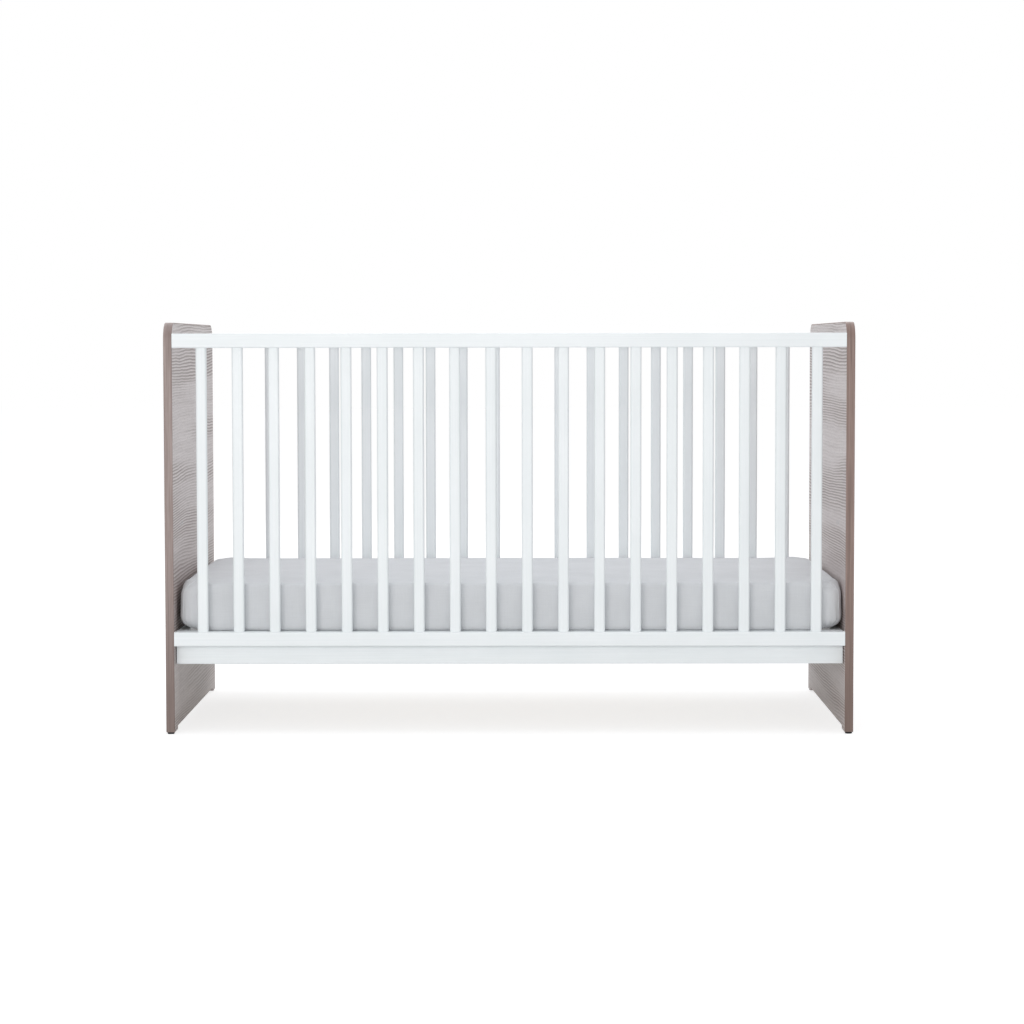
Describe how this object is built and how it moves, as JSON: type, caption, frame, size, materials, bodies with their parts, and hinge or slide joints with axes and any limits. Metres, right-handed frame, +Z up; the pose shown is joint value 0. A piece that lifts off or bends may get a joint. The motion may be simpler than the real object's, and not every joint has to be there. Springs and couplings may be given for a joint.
{
  "type": "baby crib",
  "caption": "Free-standing baby crib: solid oak-look end panels, fixed white slatted sides, slatted base that refits at several heights, mattress in a fitted sheet.",
  "frame": {"origin": "on the floor below the crib's centre", "axes": "+X along the crib's length, +Y from the front side to the back side, +Z up"},
  "size_m": [1.442, 0.755, 0.863],
  "materials": {
    "oak_laminate": "matte",
    "edge_band": "matte",
    "white_lacquer": "satin",
    "base_ply": "matte",
    "beech": "matte",
    "zinc_steel": "satin",
    "black_plastic": "matte",
    "sheet_cotton": "matte",
    "mattress_ticking": "matte"
  },
  "bodies": {
    "crib_frame": {"left_end_panel": "oak_laminate", "right_end_panel": "oak_laminate", "left_edge_band": "edge_band", "right_edge_band": "edge_band", "front_top_rail": "white_lacquer", "front_bottom_rail": "white_lacquer", "back_top_rail": "white_lacquer", "back_bottom_rail": "white_lacquer", "front_slat_01": "white_lacquer", "front_slat_02": "white_lacquer", "front_slat_03": "white_lacquer", "front_slat_04": "white_lacquer", "front_slat_05": "white_lacquer", "front_slat_06": "white_lacquer", "front_slat_07": "white_lacquer", "front_slat_08": "white_lacquer", "front_slat_09": "white_lacquer", "front_slat_10": "white_lacquer", "front_slat_11": "white_lacquer", "front_slat_12": "white_lacquer", "front_slat_13": "white_lacquer", "front_slat_14": "white_lacquer", "front_slat_15": "white_lacquer", "front_slat_16": "white_lacquer", "front_slat_17": "white_lacquer", "front_slat_18": "white_lacquer", "back_slat_01": "white_lacquer", "back_slat_02": "white_lacquer", "back_slat_03": "white_lacquer", "back_slat_04": "white_lacquer", "back_slat_05": "white_lacquer", "back_slat_06": "white_lacquer", "back_slat_07": "white_lacquer", "back_slat_08": "white_lacquer", "back_slat_09": "white_lacquer", "back_slat_10": "white_lacquer", "back_slat_11": "white_lacquer", "back_slat_12": "white_lacquer", "back_slat_13": "white_lacquer", "back_slat_14": "white_lacquer", "back_slat_15": "white_lacquer", "back_slat_16": "white_lacquer", "back_slat_17": "white_lacquer", "back_slat_18": "white_lacquer", "rail_dowels": "beech", "rail_bolts": "zinc_steel", "barrel_nuts": "zinc_steel", "support_brackets": "zinc_steel", "bracket_screws": "zinc_steel", "insert_nuts": "zinc_steel", "glide_nails": "zinc_steel", "floor_glides": "black_plastic"},
    "mattress_base": {"base_front_rail": "white_lacquer", "base_back_rail": "white_lacquer", "base_left_end_rail": "white_lacquer", "base_right_end_rail": "white_lacquer", "base_slats": "base_ply", "base_dowels": "beech"},
    "mattress": {"mattress_core": "mattress_ticking", "fitted_sheet": "sheet_cotton"}
  },
  "joints": [
    {"name": "base_height", "type": "slide", "parent": "crib_frame", "child": "mattress_base", "axis": [0, 0, 1], "range_m": [0, 0.28]},
    {"name": "mattress_lift_out", "type": "slide", "parent": "mattress_base", "child": "mattress", "axis": [0, 0, 1], "range_m": [0, 0.66]}
  ]
}
